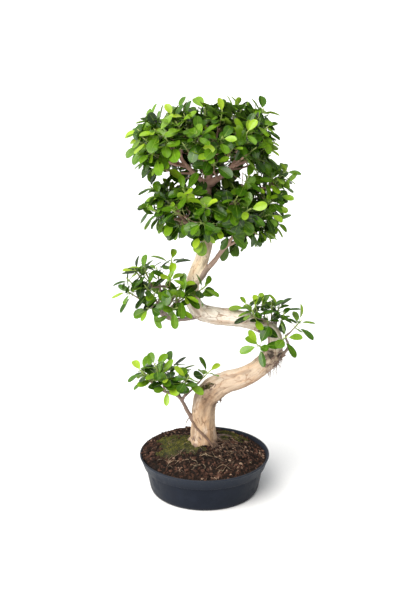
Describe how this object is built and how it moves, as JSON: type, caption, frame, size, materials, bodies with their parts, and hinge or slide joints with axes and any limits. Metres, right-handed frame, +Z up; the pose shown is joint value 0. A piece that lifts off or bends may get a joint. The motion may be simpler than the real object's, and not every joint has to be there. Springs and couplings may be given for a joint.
{
  "type": "ficus bonsai",
  "caption": "Potted bonsai tree with an S-curved trunk and layered pads of rounded glossy leaves, rooted in bark soil in a round banded pot that rests on its flat foot.",
  "frame": {"origin": "centre of the pot's underside, on the surface it stands on", "axes": "+Z up along the pot's axis, +X to the right and -Y towards the viewer of the side that the S-curve shows best"},
  "size_m": [0.4099, 0.27, 0.8203],
  "materials": {
    "pot_plastic": "moulded, dark slate, satin",
    "soil": "loose dark bark chips and compost, with moss",
    "bark": "smooth pale tan bark, mottled",
    "foliage": "leathery glossy leaves"
  },
  "bodies": {
    "root": {"pot": "pot_plastic", "soil": "soil", "tree": "bark", "low_spray_01": "foliage", "low_spray_02": "foliage", "low_spray_03": "foliage", "low_spray_04": "foliage", "low_spray_05": "foliage", "low_spray_06": "foliage", "elbow_spray_01": "foliage", "elbow_spray_02": "foliage", "elbow_spray_03": "foliage", "elbow_spray_04": "foliage", "elbow_spray_05": "foliage", "elbow_spray_06": "foliage", "elbow_spray_07": "foliage", "elbow_spray_08": "foliage", "elbow_spray_09": "foliage", "bend_spray_01": "foliage", "bend_spray_02": "foliage", "bend_spray_03": "foliage", "bend_spray_04": "foliage", "bend_spray_05": "foliage", "skirt_spray_01": "foliage", "skirt_spray_02": "foliage", "skirt_spray_03": "foliage", "skirt_spray_04": "foliage", "skirt_spray_05": "foliage", "skirt_spray_06": "foliage", "skirt_spray_07": "foliage", "skirt_spray_08": "foliage", "skirt_spray_09": "foliage", "skirt_spray_10": "foliage", "skirt_spray_11": "foliage", "skirt_spray_12": "foliage", "skirt_spray_13": "foliage", "skirt_spray_14": "foliage", "skirt_spray_15": "foliage", "skirt_spray_16": "foliage", "crown_spray_01": "foliage", "crown_spray_02": "foliage", "crown_spray_03": "foliage", "crown_spray_04": "foliage", "crown_spray_05": "foliage", "crown_spray_06": "foliage", "crown_spray_07": "foliage", "crown_spray_08": "foliage", "crown_spray_09": "foliage", "crown_spray_10": "foliage", "crown_spray_11": "foliage", "crown_spray_12": "foliage", "crown_spray_13": "foliage", "crown_spray_14": "foliage", "crown_spray_15": "foliage", "crown_spray_16": "foliage", "crown_spray_17": "foliage", "crown_spray_18": "foliage", "crown_spray_19": "foliage", "crown_spray_20": "foliage", "crown_spray_21": "foliage"}
  },
  "joints": []
}
